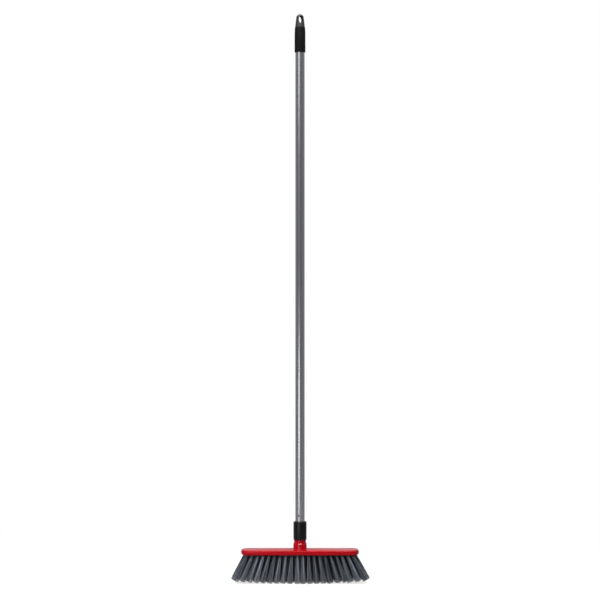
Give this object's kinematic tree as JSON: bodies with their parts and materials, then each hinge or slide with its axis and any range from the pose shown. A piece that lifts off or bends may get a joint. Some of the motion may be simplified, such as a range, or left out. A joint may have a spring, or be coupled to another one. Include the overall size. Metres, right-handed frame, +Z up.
{
  "type": "push broom",
  "caption": "Push broom standing on its bristles: oblong moulded head with fanned tufts, and a long tubular handle that unscrews from the head's neck.",
  "frame": {"origin": "on the floor, under the middle of the head, where the bristle tips stand", "axes": "+Z up along the handle, +X along the head, +Y towards its rear long side"},
  "size_m": [0.347, 0.0785, 1.4008],
  "materials": {
    "red_plastic": "glossy moulded red",
    "block_plastic": "matt black moulding",
    "bristle_fibre": "dark grey synthetic filament with frayed tips",
    "black_plastic": "satin black moulding",
    "plug_plastic": "matt black moulding",
    "rivet_steel": "plain steel",
    "grey_lacquer": "graphite grey lacquer on steel tube",
    "grip_rubber": "matt black sleeve",
    "cap_plastic": "dark grey satin moulding"
  },
  "bodies": {
    "head": {"head_cover": "red_plastic", "tuft_block": "block_plastic", "bristles_front": "bristle_fibre", "bristles_mid_front": "bristle_fibre", "bristles_mid_rear": "bristle_fibre", "bristles_rear": "bristle_fibre"},
    "ferrule": {"ferrule": "black_plastic"},
    "handle": {"threaded_plug": "plug_plastic", "plug_rivet_front": "rivet_steel", "plug_rivet_rear": "rivet_steel", "handle_tube": "grey_lacquer", "grip_sleeve": "grip_rubber", "hanging_cap": "cap_plastic"}
  },
  "joints": [
    {"name": "handle_rise", "type": "slide", "parent": "head", "child": "ferrule", "axis": [0, 0, 1], "range_m": [0, 0.04]},
    {"name": "handle_turn", "type": "hinge", "parent": "ferrule", "child": "handle", "pos_m": [0, 0, 0.1315], "axis": [0, 0, 1], "range_deg": [0, 2880]}
  ],
  "couplings": [
    {"joint": "handle_turn", "follows": "handle_rise", "rad_per_m": 1256.6}
  ]
}
